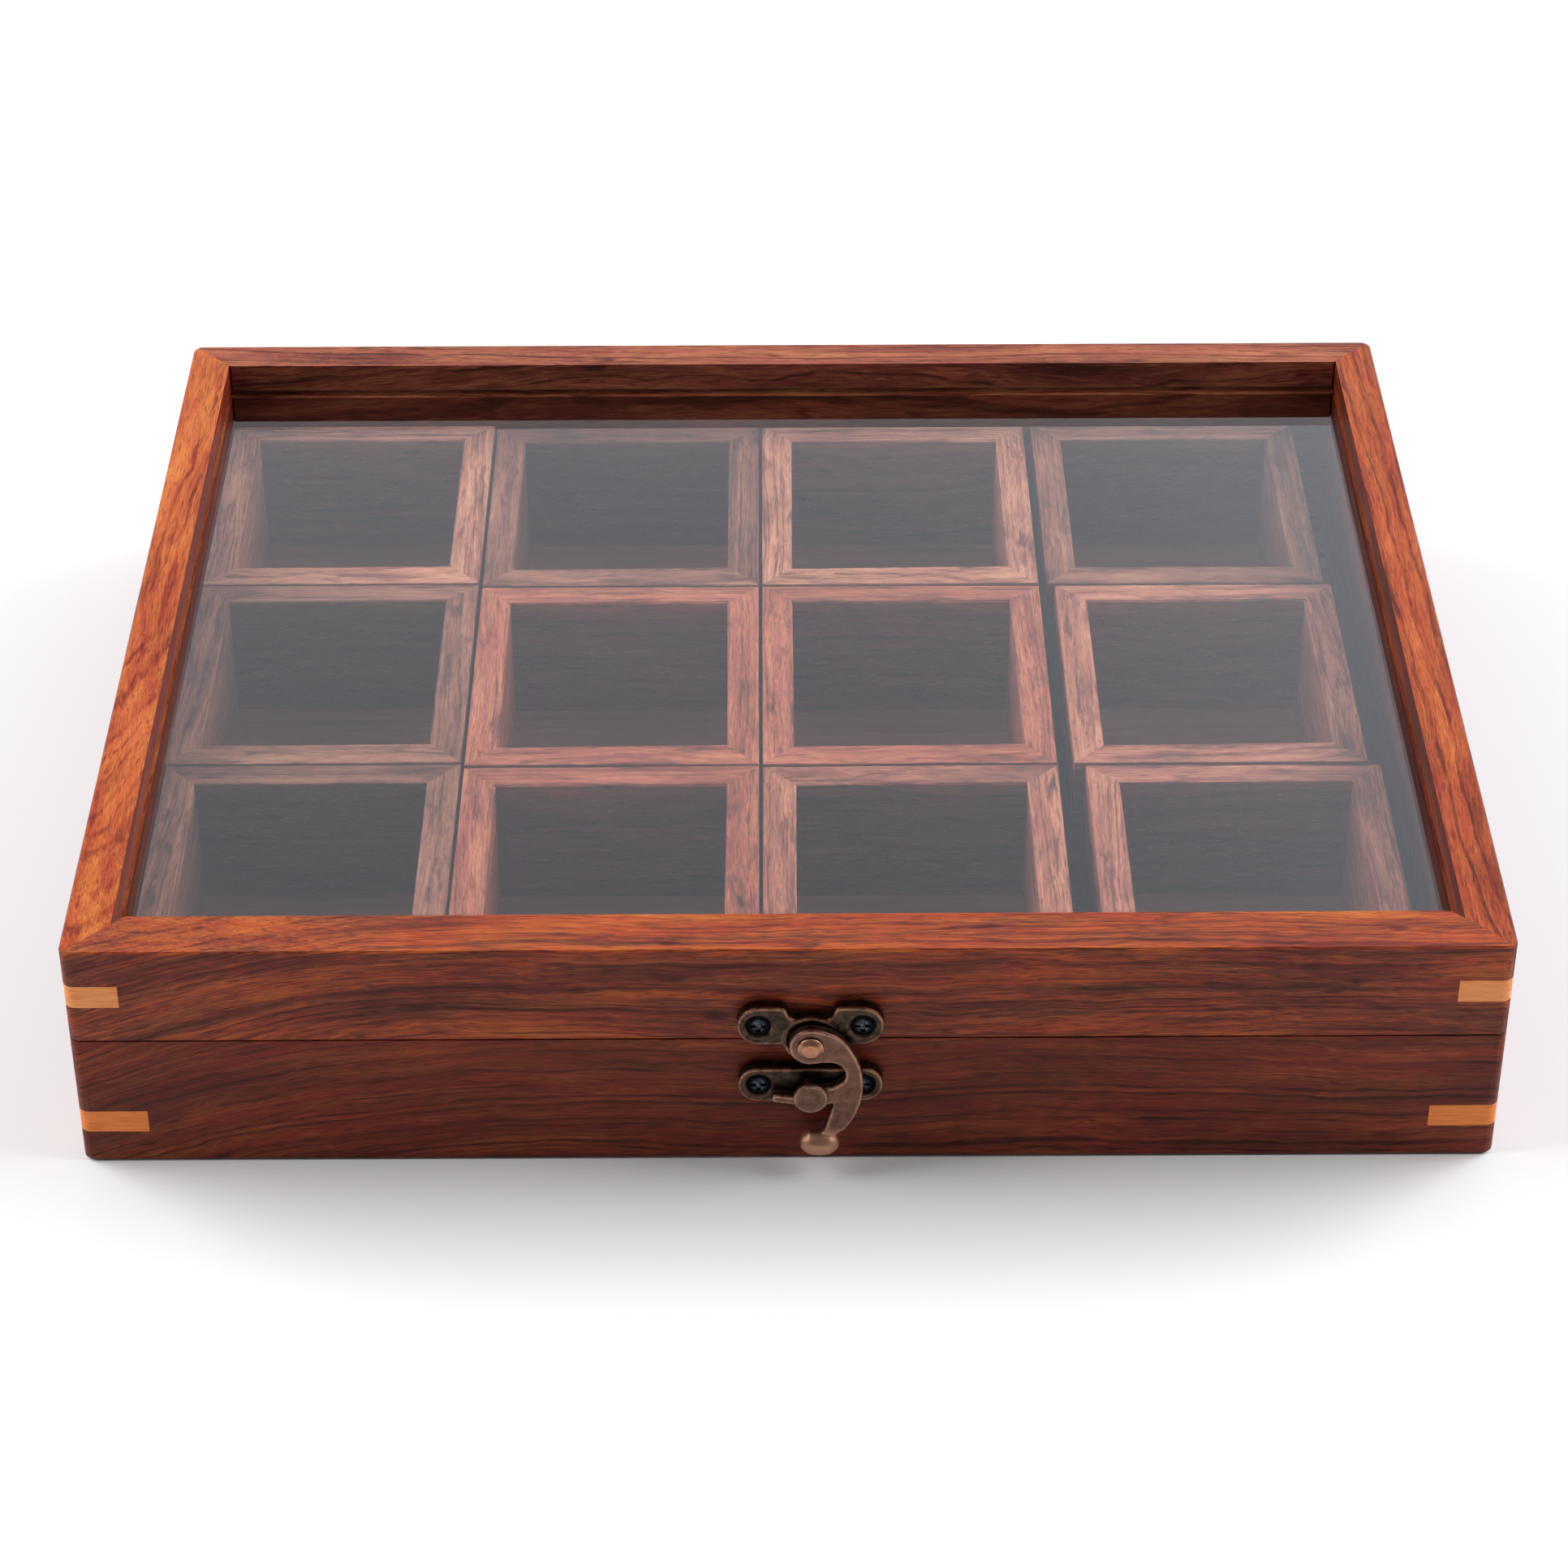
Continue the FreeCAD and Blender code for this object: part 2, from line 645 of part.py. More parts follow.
def hinge_leaf(label, x, up):
    """A leaf with its knuckles: the two outer ones below the seam, the middle one above it."""
    body = new_body(label)
    way = "" if up else "-"
    inner = "(knuckle_radius + hinge_relief)"
    outer = f"({inner} + hinge_height)"
    tongue = "centre_knuckle / 2" if up else "(centre_knuckle / 2 + knuckle_gap)"
    if up:
        corners = [
            ("-hinge_width / 2", inner), (f"-{tongue}", inner), (f"-{tongue}", "0"), (tongue, "0"),
            (tongue, inner), ("hinge_width / 2", inner), ("hinge_width / 2", outer),
            ("-hinge_width / 2", outer),
        ]
    else:
        corners = [
            ("-hinge_width / 2", f"-{outer}"), ("hinge_width / 2", f"-{outer}"), ("hinge_width / 2", "0"),
            (tongue, "0"), (tongue, f"-{inner}"), (f"-{tongue}", f"-{inner}"), (f"-{tongue}", "0"),
            ("-hinge_width / 2", "0"),
        ]
    outline = new_sketch(body, label + "_outline", "XZ_Plane")
    draw_outline(outline, corners)
    pad(body, outline, "hinge_leaf")
    if up:
        knuckle = new_sketch(body, label + "_knuckle", "YZ_Plane", level=f"-{tongue}")
        draw_circles(knuckle, [("-axis_stand", "0")], "knuckle_radius")
        pad(body, knuckle, "centre_knuckle")
    else:
        knuckle = new_sketch(body, label + "_knuckle", "YZ_Plane", level=tongue)
        draw_circles(knuckle, [("-axis_stand", "0")], "knuckle_radius")
        outer_knuckle = pad(body, knuckle, f"hinge_width / 2 - {tongue}")
        twin = body.newObject("PartDesign::Mirrored", label + "_twin_knuckle")
        twin.Originals = [outer_knuckle]
        twin.MirrorPlane = (origin_plane(body, "YZ_Plane"), [""])
        body.Tip = twin
        doc.recompute()
    bore = new_sketch(body, label + "_pin_bore", "YZ_Plane")
    draw_circles(bore, [("-axis_stand", "0")], "pin_radius + pin_play")
    pocket(body, bore)
    for name, along in (("left", "-nail_reach"), ("right", "nail_reach")):
        hole = new_sketch(body, f"{label}_{name}_hole", "XZ_Plane", along=along, up=f"{way}{NAIL_DROP}")
        draw_square(hole, "nail_half_width + nail_play")
        pocket(body, hole)
    place(body, x, "box_depth / 2", "seam_level", quarters=2)
    return body


def hinge_pin(label, x):
    """A plain pin that ends flush with the outer knuckles."""
    body = new_body(label)
    end = new_sketch(body, label + "_end", "YZ_Plane", level="-hinge_width / 2")
    draw_circles(end, [("-axis_stand", "0")], "pin_radius")
    pad(body, end, "hinge_width")
    place(body, x, "box_depth / 2", "seam_level", quarters=2)
    return body


def hinge_nails(label, level):
    """The four square-shanked nails with round heads that hold the leaves on one side of the seam."""
    four = []
    for number, spot in enumerate(NAIL_SPOTS, start=1):
        body = new_body(f"{label}_{number}")
        shank = new_sketch(body, f"{label}_{number}_shank", "XZ_Plane", level="hinge_leaf - nail_length")
        draw_square(shank, "nail_half_width")
        pad(body, shank, "nail_length")
        head = new_sketch(body, f"{label}_{number}_head", "XZ_Plane", level="hinge_leaf")
        draw_circles(head, [("0", "0")], "nail_head")
        pad(body, head, "nail_head_thickness")
        place(body, spot, "box_depth / 2", level, quarters=2)
        four.append(body)
    return gather(label, four)


# The cups

def cup_wall_ring():
    """The four mitred walls that every cup repeats, centred in plan on the origin."""
    walls = []
    for side in SIDES:
        run = CUP_WIDTH if side in ("front", "back") else CUP_DEPTH
        wall = new_body(f"cup_{side}_wall")
        plan = new_sketch(wall, f"cup_{side}_plan", "XY_Plane")
        draw_outline(plan, [(f"-{run} / 2", "0"), (f"{run} / 2", "0"), (f"{run} / 2 - cup_wall", "cup_wall"),
                            (f"-{run} / 2 + cup_wall", "cup_wall")])
        pad(wall, plan, "cup_height")
        place_on_side(wall, side, CUP_WIDTH, CUP_DEPTH)
        walls.append(wall)
    return gather("cup_wall_ring", walls)


def cup(label, ring, column, row, x_shift, y_shift):
    """One loose cup: its ring of walls and the bottom let in between them."""
    x = (f"-box_width / 2 + board + left_gap + {CUP_WIDTH} / 2 + {column} * ({CUP_WIDTH} + cup_gap)"
         f" + {x_shift}")
    y = f"box_depth / 2 - board - back_gap - {CUP_DEPTH} / 2 - {row} * ({CUP_DEPTH} + cup_gap) + {y_shift}"
    walls = gather(label + "_walls", [ring])
    place(walls, x, y, CUP_FOOT)
    bottom = flat_panel(label + "_bottom", f"({CUP_WIDTH} - 2 * cup_wall)", f"({CUP_DEPTH} - 2 * cup_wall)",
                        "cup_bottom", CUP_FOOT, x, y)
    return [walls, bottom]


# The base
rabbet = ("rabbet_depth", "0", "panel_thickness")
base_spline = ("base_spline_leg", "base_spline_rise")
base_boards = {side: case_board(f"base_{side}_wall", side, "board", "0", BASE_TOP, ("0", "bottom_chamfer"),
                                rabbet, base_spline) for side in SIDES}
drill_pilots(base_boards["front"], POST_LEVEL)
nail_holes(base_boards["back"], f"seam_level - {NAIL_DROP}")
nodes = list(base_boards.values())
nodes.append(corner_splines("base_corner_splines", *base_spline))
nodes.append(flat_panel("bottom_panel", "(box_width - 2 * board + 2 * rabbet_depth)",
                        "(box_depth - 2 * board + 2 * rabbet_depth)", "panel_thickness", "0"))

# The lid
groove = ("groove_depth", GLASS_LEVEL, GROOVE_TOP)
lid_spline = ("lid_spline_leg", "(seam_level + lid_spline_rise)")
lid_thickness = {"front": "lid_front_board", "right": "board", "back": "lid_back_board", "left": "board"}
lid_boards = {side: case_board(f"lid_{side}_rail", side, lid_thickness[side], LID_FOOT, LID_TOP,
                               (LID_TOP, "top_chamfer"), groove, lid_spline) for side in SIDES}
drill_pilots(lid_boards["front"], SCREW_LEVEL)
nail_holes(lid_boards["back"], f"seam_level + {NAIL_DROP}")
nodes += lid_boards.values()
nodes.append(corner_splines("lid_corner_splines", *lid_spline))
nodes.append(flat_panel(
    "glass_panel",
    "(box_width - 2 * board + 2 * groove_depth - 2 * glass_edge_play)",
    "(box_depth - lid_front_board - lid_back_board + 2 * groove_depth - 2 * glass_edge_play)",
    "glass_thickness", GLASS_LEVEL, y="(lid_front_board - lid_back_board) / 2"))

# The latch
nodes += [latch_plate(), latch_rivet(), latch_screws("latch_screws", SCREW_LEVEL), latch_arm()]
nodes += [keeper_plate(), keeper_post(), latch_screws("keeper_screws", POST_LEVEL)]

# The hinges
for name, spot in (("left", "-hinge_spread"), ("right", "hinge_spread")):
    nodes.append(hinge_leaf(f"{name}_hinge_base_leaf", spot, up=False))
    nodes.append(hinge_leaf(f"{name}_hinge_lid_leaf", spot, up=True))
    nodes.append(hinge_pin(f"{name}_hinge_pin", spot))
nodes.append(hinge_nails("hinge_base_nails", f"seam_level - {NAIL_DROP}"))
nodes.append(hinge_nails("hinge_lid_nails", f"seam_level + {NAIL_DROP}"))

# The cups, three rows of four, pushed a little apart as they were left
ring = cup_wall_ring()
for row, (row_name, right_shift) in enumerate((("back", "back_right_shift"), ("middle", "middle_right_shift"),
                                               ("front", "front_right_shift"))):
    for column in range(4):
        nodes += cup(f"cup_{row_name}_{column + 1}", ring, column, row,
                     right_shift if column == 3 else "0", "left_column_shift" if column == 0 else "0")

# Check every object, then write each node
doc.recompute()
for thing in doc.Objects:
    if "Invalid" in thing.State or "Error" in thing.State:
        raise RuntimeError(f"{thing.Label} failed: {thing.State}")
for node in nodes:
    if node.Shape.isNull() or not node.Shape.isValid():
        raise RuntimeError(f"{node.Label} has no valid shape")

os.makedirs("parts", exist_ok=True)
for node in nodes:
    node.Shape.exportStep(f"parts/{node.Label}.step")
print(f"{len(nodes)} nodes written")
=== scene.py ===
# A glazed spice box of Indian rosewood with twelve loose cups, seen from above the latch.
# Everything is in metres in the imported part's own frame: +X right, +Y back, +Z up.
import math

import bpy
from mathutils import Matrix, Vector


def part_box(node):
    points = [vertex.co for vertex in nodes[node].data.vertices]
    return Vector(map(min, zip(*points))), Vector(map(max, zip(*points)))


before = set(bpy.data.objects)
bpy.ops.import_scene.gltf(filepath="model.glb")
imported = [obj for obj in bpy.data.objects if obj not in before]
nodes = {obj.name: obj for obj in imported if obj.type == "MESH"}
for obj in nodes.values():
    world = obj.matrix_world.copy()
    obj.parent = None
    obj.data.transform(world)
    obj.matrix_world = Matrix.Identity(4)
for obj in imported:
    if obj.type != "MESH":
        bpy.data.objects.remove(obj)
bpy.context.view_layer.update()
mm = 0.001


# ---- Base walls ----
# Four boards of Indian rosewood, sawn, mitred and glued, stained red-brown and lacquered.
# The lacquer lies thin over the open pores, so the face is satin and the grain still shows.

def colour(code):
    """A hex sRGB colour as linear red, green, blue and alpha."""
    parts = [int(code[place:place + 2], 16) / 255 for place in (1, 3, 5)]
    return [c / 12.92 if c <= 0.04045 else ((c + 0.055) / 1.055) ** 2.4 for c in parts] + [1.0]


def add(tree, kind, fill=None, **settings):
    """Add a node, set its properties, and give its inputs values or links from other nodes' sockets."""
    made = tree.nodes.new("ShaderNode" + kind)
    for name, value in settings.items():
        setattr(made, name, value)
    for place, value in (fill or {}).items():
        if isinstance(value, bpy.types.NodeSocket):
            tree.links.new(value, made.inputs[place])
        else:
            made.inputs[place].default_value = value
    return made


def material(name, **surface):
    """An empty material whose surface shader has constant settings; returns it, its nodes and the shader."""
    made = bpy.data.materials.new(name)
    made.use_nodes = True
    tree = made.node_tree
    shader = tree.nodes["Principled BSDF"]
    for socket, value in surface.items():
        shader.inputs[socket.replace("_", " ")].default_value = value
    return made, tree, shader


def ramp(tree, factor, stops):
    """A colour ramp through stops of (position, hex colour)."""
    made = add(tree, "ValToRGB", {"Fac": factor})
    elements = made.color_ramp.elements
    while len(elements) < len(stops):
        elements.new(0.5)
    for element, (place, code) in zip(elements, stops):
        element.position = place
        element.color = colour(code)
    return made.outputs["Color"]


def maths(tree, operation, *values):
    """One arithmetic step on numbers or sockets."""
    return add(tree, "Math", dict(enumerate(values)), operation=operation).outputs[0]


def stretched(tree, where, along, across, seed):
    """Coordinates for a pattern whose features are this long along the grain (X) and across it."""
    return add(tree, "Mapping", {"Vector": where, "Scale": (1 / along, 1 / across, 1 / across),
                                 "Location": (seed, seed * 0.7, seed * 1.3)}).outputs["Vector"]


def streaks(tree, where, along, across, seed, detail, low, high):
    """Streaks of this length and width, cut to the part of the noise between low and high, 0 to 1."""
    noise = add(tree, "TexNoise", {"Vector": stretched(tree, where, along, across, seed), "Scale": 1.0,
                                   "Detail": detail, "Roughness": 0.55}).outputs["Fac"]
    return add(tree, "MapRange", {"Value": noise, "From Min": low, "From Max": high}).outputs[0]


def wander(tree, where, along, across, seed, reach):
    """The coordinates, pushed about smoothly by up to a quarter of reach or so."""
    noise = add(tree, "TexNoise", {"Vector": stretched(tree, where, along, across, seed), "Scale": 1.0,
                                   "Detail": 2.0, "Roughness": 0.45}).outputs["Color"]
    shift = add(tree, "VectorMath", {0: noise, 1: (0.5, 0.5, 0.5)}, operation="SUBTRACT").outputs[0]
    shift = add(tree, "VectorMath", {0: shift, "Scale": reach}, operation="SCALE").outputs[0]
    return add(tree, "VectorMath", {0: where, 1: shift}, operation="ADD").outputs[0]


def grain(tree, where, seed, pith, ring, waver, sweep=(0.0, 0.0), lined=0.27):
    """Growth lines, fibres, pores and blush of one sawn board, its grain along X.

    pith is how far the heart of the log lies from the board in Y and Z, ring the width of a year's
    growth, waver how far the grain swings from side to side, sweep where along the board the
    grain lies level and how fast it bends down to the left of there, and lined how dark the lines
    are. Returns tone, pores, fibres and blush, the redder streaks.
    """
    moved = wander(tree, where, 110 * mm, 50 * mm, seed, waver)
    moved = wander(tree, moved, 16 * mm, 5 * mm, seed + 20, 1.6 * mm)
    split = add(tree, "SeparateXYZ", {0: moved})
    short = maths(tree, "MINIMUM", maths(tree, "SUBTRACT", split.outputs["X"], sweep[0]), 0.0)
    bend = maths(tree, "MULTIPLY", maths(tree, "MULTIPLY", short, short), sweep[1])
    upper = maths(tree, "ADD", split.outputs["Z"], bend)
    level = maths(tree, "SUBTRACT", split.outputs["Y"], pith[0])
    rise = maths(tree, "SUBTRACT", upper, pith[1])
    radius = maths(tree, "SQRT", maths(tree, "ADD", maths(tree, "MULTIPLY", level, level),
                                       maths(tree, "MULTIPLY", rise, rise)))
    years = maths(tree, "DIVIDE", radius, ring)
    rings = add(tree, "TexNoise", {"W": maths(tree, "ADD", years, seed), "Scale": 1.0, "Detail": 3.0,
                                   "Roughness": 0.6}, noise_dimensions="1D").outputs["Fac"]
    thin = add(tree, "TexNoise", {"W": maths(tree, "MULTIPLY_ADD", years, 1.7, seed + 31), "Scale": 1.0,
                                  "Detail": 1.0}, noise_dimensions="1D").outputs["Fac"]
    laid = add(tree, "CombineXYZ", {0: split.outputs["X"], 1: split.outputs["Y"], 2: upper}).outputs[0]
    broken = streaks(tree, laid, 22 * mm, 1.3 * mm, seed, 4.0, 0.36, 0.62)
    dark = maths(tree, "MULTIPLY", add(tree, "MapRange", {"Value": thin, "From Min": 0.52,
                                                          "From Max": 0.66}).outputs[0], broken)
    fibres = streaks(tree, laid, 8 * mm, 0.35 * mm, seed + 2, 3.0, 0.3, 0.7)
    cloud = streaks(tree, laid, 50 * mm, 7 * mm, seed + 5, 4.0, 0.3, 0.7)
    knots = streaks(tree, laid, 16 * mm, 4.5 * mm, seed + 14, 2.0, 0.64, 0.78)
    blush = streaks(tree, laid, 34 * mm, 3 * mm, seed + 27, 3.0, 0.35, 0.65)
    tone = maths(tree, "MULTIPLY_ADD", rings, 0.34, maths(tree, "MULTIPLY", fibres, 0.24))
    tone = maths(tree, "MULTIPLY_ADD", cloud, 0.26, maths(tree, "MULTIPLY_ADD", dark, -lined, tone))
    tone = maths(tree, "ADD", 0.14, maths(tree, "MULTIPLY_ADD", knots, -0.26, tone))
    pores = streaks(tree, laid, 4.5 * mm, 0.3 * mm, seed + 9, 1.0, 0.58, 0.68)
    return tone, pores, fibres, blush


def finish_wood(tree, shader, tone, pores, fibres, blush, tones, pore_tone, pore_depth):
    """Colour and relief of a wood surface: tones from dark to light, with the open pores a little sunk."""
    face = add(tree, "HueSaturation", {"Color": ramp(tree, tone, tones),
                                       "Hue": maths(tree, "MULTIPLY_ADD", blush, -0.014, 0.508),
                                       "Value": maths(tree, "MULTIPLY_ADD", blush, -0.16, 1.16)}).outputs[0]
    mixed = add(tree, "Mix", {"Factor": maths(tree, "MULTIPLY", pores, 0.55), "A": face, "B": colour(pore_tone)},
                data_type="RGBA")
    tree.links.new(mixed.outputs["Result"], shader.inputs["Base Color"])
    relief = maths(tree, "MULTIPLY_ADD", pores, -0.8, maths(tree, "MULTIPLY", fibres, 0.4))
    bump = add(tree, "Bump", {"Height": relief, "Distance": pore_depth, "Strength": 0.6})
    tree.links.new(bump.outputs["Normal"], shader.inputs["Normal"])
    rough = maths(tree, "MULTIPLY_ADD", fibres, 0.16, shader.inputs["Roughness"].default_value - 0.08)
    tree.links.new(rough, shader.inputs["Roughness"])


def along_grain(tree, run):
    """The object's own coordinates, turned so that the grain runs along X."""
    where = add(tree, "TexCoord").outputs["Object"]
    if run == "X":
        return where
    return add(tree, "Mapping", {"Vector": where, "Rotation": (0, 0, -math.pi / 2)}).outputs["Vector"]


def lacquered_rosewood(name, run, seed, pith, ring, sweep, painted_face_shade, tones, lined=0.27):
    """Rosewood under a thin satin lacquer: IOR 1.5, the faces that do not look straight up painted darker than the top,
    as painted shade.
    """
    made, tree, shader = material(name, Roughness=0.42, IOR=1.5, Specular_IOR_Level=0.16)
    tone, pores, fibres, blush = grain(tree, along_grain(tree, run), seed, pith, ring, 10 * mm, sweep, lined)
    # Painted shade: the tone drops by the given amount on faces that do not look up, less on sloped faces.
    facing = add(tree, "SeparateXYZ", {0: add(tree, "TexCoord").outputs["Normal"]}).outputs["Z"]
    facing = maths(tree, "MAXIMUM", facing, 0.0)
    tone = maths(tree, "MULTIPLY_ADD", facing, painted_face_shade, maths(tree, "SUBTRACT", tone, painted_face_shade))
    finish_wood(tree, shader, tone, pores, fibres, blush, tones, "#3A1710", 0.05 * mm)
    return made


def dress(node, finish):
    """Give a CAD piece its finish."""
    mesh = nodes[node].data
    mesh.materials.clear()
    mesh.materials.append(finish)


def ease(node, width, segments=2):
    """Round a CAD piece's crisp edges a little, as sanding or wear leaves them."""
    weld = nodes[node].modifiers.new("join", "WELD")
    weld.merge_threshold = 1e-6
    bevel = nodes[node].modifiers.new("ease", "BEVEL")
    bevel.width = width
    bevel.segments = segments
    bevel.limit_method = "ANGLE"
    bevel.angle_limit = math.radians(35)


base_tones = [(0.10, "#38130B"), (0.34, "#5C2315"), (0.50, "#762F1C"), (0.66, "#8E3E22"), (0.82, "#A4542C")]
base_boards = {"front": ("X", (-0.16, -0.02), (-0.05, 2.2)), "right": ("Y", (-0.17, -0.03), (0.0, 0.5)),
               "back": ("X", (0.16, -0.04), (0.05, 0.6)), "left": ("Y", (0.18, 0.05), (0.0, 0.8))}
for number, (side, (run, pith, sweep)) in enumerate(base_boards.items()):
    # Painted shade: the walls' vertical faces are painted 0.12 darker in tone than their tops.
    walls = lacquered_rosewood(f"lacquered_rosewood_base_{side}", run, 3.1 + 7.7 * number, pith, 1.5 * mm,
                               sweep, 0.12, base_tones)
    dress(f"base_{side}_wall", walls)
    ease(f"base_{side}_wall", 0.4 * mm)


# ---- Base splines ----
# Keys of a pale hardwood let in across the mitres and planed flush, under the same lacquer.
# End and long grain meet the eye as a fine, nearly even orange-tan.

def lacquered_maple(name, seed, tones):
    """Pale close-grained hardwood, lacquered."""
    made, tree, shader = material(name, Roughness=0.4, IOR=1.5, Specular_IOR_Level=0.3)
    where = add(tree, "TexCoord").outputs["Object"]
    fibres = add(tree, "TexNoise", {"Vector": stretched(tree, where, 9 * mm, 0.5 * mm, seed), "Scale": 1.0,
                                    "Detail": 4.0, "Roughness": 0.65}).outputs["Fac"]
    tree.links.new(ramp(tree, fibres, tones), shader.inputs["Base Color"])
    return made


dress("base_corner_splines", lacquered_maple("lacquered_maple_base", 2.0, [(0.35, "#DA6E26"), (0.6, "#EE8834")]))


# ---- Bottom panel ----
# Thin plywood dropped into a rabbet round the underside, unlacquered and dull.

plywood, tree, shader = material("birch_plywood", Roughness=0.7, IOR=1.5)
where = along_grain(tree, "X")
finish_wood(tree, shader, *grain(tree, where, 41.0, (0.3, -0.4), 4 * mm, 6 * mm),
            [(0.35, "#6E4A2E"), (0.65, "#9A7048")], "#4A3020", 0.03 * mm)
dress("bottom_panel", plywood)


# ---- Cups ----
# Loose square cups: four mitred rosewood walls and a thin bottom, oiled but not lacquered,
# so they are duller and pinker than the case. Each is from a different offcut. Their walls carry painted shade, darker
# inside towards the bottom.

def oiled_rosewood(name, seed, centre, half, tones, front_lift):
    """Oiled rosewood whose grain follows each wall round the mitres, the front wall paler by front_lift, the walls
    painted darker further below the rim and on vertical faces, as painted shade.
    """
    made, tree, shader = material(name, Roughness=0.55, IOR=1.5, Specular_IOR_Level=0.3)
    where = add(tree, "TexCoord").outputs["Object"]
    split = add(tree, "SeparateXYZ", {0: where})
    off = [maths(tree, "SUBTRACT", half[axis], maths(tree, "ABSOLUTE", maths(tree, "SUBTRACT", split.outputs[axis],
                                                                             centre[axis]))) for axis in (0, 1)]
    sideways = maths(tree, "LESS_THAN", off[0], off[1])
    turned = add(tree, "CombineXYZ", {0: split.outputs[1], 1: split.outputs[0], 2: split.outputs[2]}).outputs[0]
    turned = add(tree, "VectorMath", {0: turned, 1: (0.7, 0.3, 0.1)}, operation="ADD").outputs[0]
    walls = add(tree, "Mix", {"Factor": sideways, "A": where, "B": turned}, data_type="VECTOR").outputs["Result"]
    fine = add(tree, "VectorMath", {0: walls, "Scale": 1.4}, operation="SCALE").outputs[0]
    tone, pores, fibres, blush = grain(tree, fine, seed, (1.4 * centre[1] - 0.07, -0.03), 1.8 * mm, 10 * mm,
                                       (0.0, 0.0), 0.2)
    heart = streaks(tree, wander(tree, walls, 14 * mm, 6 * mm, seed + 50, 6 * mm), 15 * mm, 2.5 * mm, seed + 41,
                    4.0, 0.52, 0.72)
    tone = maths(tree, "MULTIPLY_ADD", heart, -0.24, tone)
    right = maths(tree, "MULTIPLY", maths(tree, "GREATER_THAN", split.outputs[0], centre[0]), sideways)
    behind = maths(tree, "MULTIPLY", maths(tree, "GREATER_THAN", split.outputs[1], centre[1]),
                   maths(tree, "SUBTRACT", 1.0, sideways))
    which = add(tree, "CombineXYZ", {0: right, 1: behind, 2: maths(tree, "MULTIPLY_ADD", sideways, 3.0, seed)})
    offcut = add(tree, "TexWhiteNoise", {"Vector": which.outputs[0]}, noise_dimensions="3D").outputs["Value"]
    tone = maths(tree, "ADD", tone, maths(tree, "MULTIPLY_ADD", offcut, 0.12, -0.08))
    front = maths(tree, "MULTIPLY", maths(tree, "LESS_THAN", split.outputs[1], centre[1]),
                  maths(tree, "SUBTRACT", 1.0, sideways))
    tone = maths(tree, "MULTIPLY_ADD", front, front_lift, tone)
    # Painted shade: the walls darken further below the rim, fast on the front and back walls and slowly on the side
    # walls, down to 0.62 of the tone.
    rim = centre[2] + half[2]
    reach = maths(tree, "MULTIPLY_ADD", sideways, 20 * mm, 5 * mm)
    sunk = maths(tree, "DIVIDE", maths(tree, "SUBTRACT", rim, split.outputs[2]), reach)
    painted_depth_shade = add(tree, "MapRange", {"Value": sunk, "From Min": 0.0, "From Max": 1.0, "To Min": 1.0,
                                   "To Max": 0.62}).outputs[0]
    # Painted shade: vertical faces are painted darker than the rim, to 0.7 of the tone on the front and back walls and
    # 0.86 on the side walls.
    facing = maths(tree, "ABSOLUTE", add(tree, "SeparateXYZ", {0: add(tree, "TexCoord").outputs["Normal"]}).outputs["Z"])
    painted_wall_shade = add(tree, "MapRange", {"Value": facing, "From Min": 0.2, "From Max": 0.8, "To Max": 1.0,
                                     "To Min": maths(tree, "MULTIPLY_ADD", sideways, 0.16, 0.7)}).outputs[0]
    tone = maths(tree, "MULTIPLY", maths(tree, "MULTIPLY", tone, painted_depth_shade), painted_wall_shade)
    finish_wood(tree, shader, tone, pores, fibres, blush, tones, "#2E1612", 0.05 * mm)
    return made


cup_tones = {
    "pink": [(0.10, "#2A100D"), (0.40, "#74392E"), (0.60, "#A8624E"), (0.86, "#C6856A")],
    "brown": [(0.10, "#26100C"), (0.40, "#5E3428"), (0.60, "#8C5544"), (0.86, "#AE785E")],
    "red": [(0.10, "#2A0F0B"), (0.40, "#7C382A"), (0.60, "#A85A44"), (0.86, "#CA7C5C")],
    "pale": [(0.10, "#2C120F"), (0.40, "#7A4034"), (0.60, "#AE6E58"), (0.86, "#D49474")],
}
cup_wood = {"back": ("pale", "brown", "pale", "brown"), "middle": ("brown", "red", "red", "pink"),
            "front": ("brown", "red", "pink", "pink")}
front_lifts = {"back": (0.10, 0.10, 0.10, -0.05), "middle": (0.04, -0.07, 0.06, 0.08), "front": (0, 0, 0, 0)}
for row, kinds in cup_wood.items():
    for column, kind in enumerate(kinds, start=1):
        name = f"cup_{row}_{column}"
        low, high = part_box(f"{name}_walls")
        middle = (low + high) / 2
        half = (high - low) / 2
        seed = 11.0 * column + {"back": 1, "middle": 60, "front": 130}[row]
        dress(f"{name}_walls", oiled_rosewood(f"oiled_rosewood_{name}", seed, middle, half, cup_tones[kind],
                                               front_lifts[row][column - 1]))
        ease(f"{name}_walls", 0.3 * mm)
        floor_wood, tree, shader = material(f"oiled_floor_{name}", Roughness=0.6, IOR=1.5)
        finish_wood(tree, shader, *grain(tree, along_grain(tree, "X"), seed + 3, (-0.3, -0.3), 4 * mm, 8 * mm),
                    [(0.3, "#50241C"), (0.8, "#724034")], "#341912", 0.04 * mm)
        dress(f"{name}_bottom", floor_wood)


# ---- Lid rails ----
# Four rails like the walls below, mitred, the front one wider, grooved for the glass.
# Their tops are planed through different figure: streaks in front, brighter at the sides. Their vertical faces are
# painted darker than the tops as painted shade, most on the side rails.

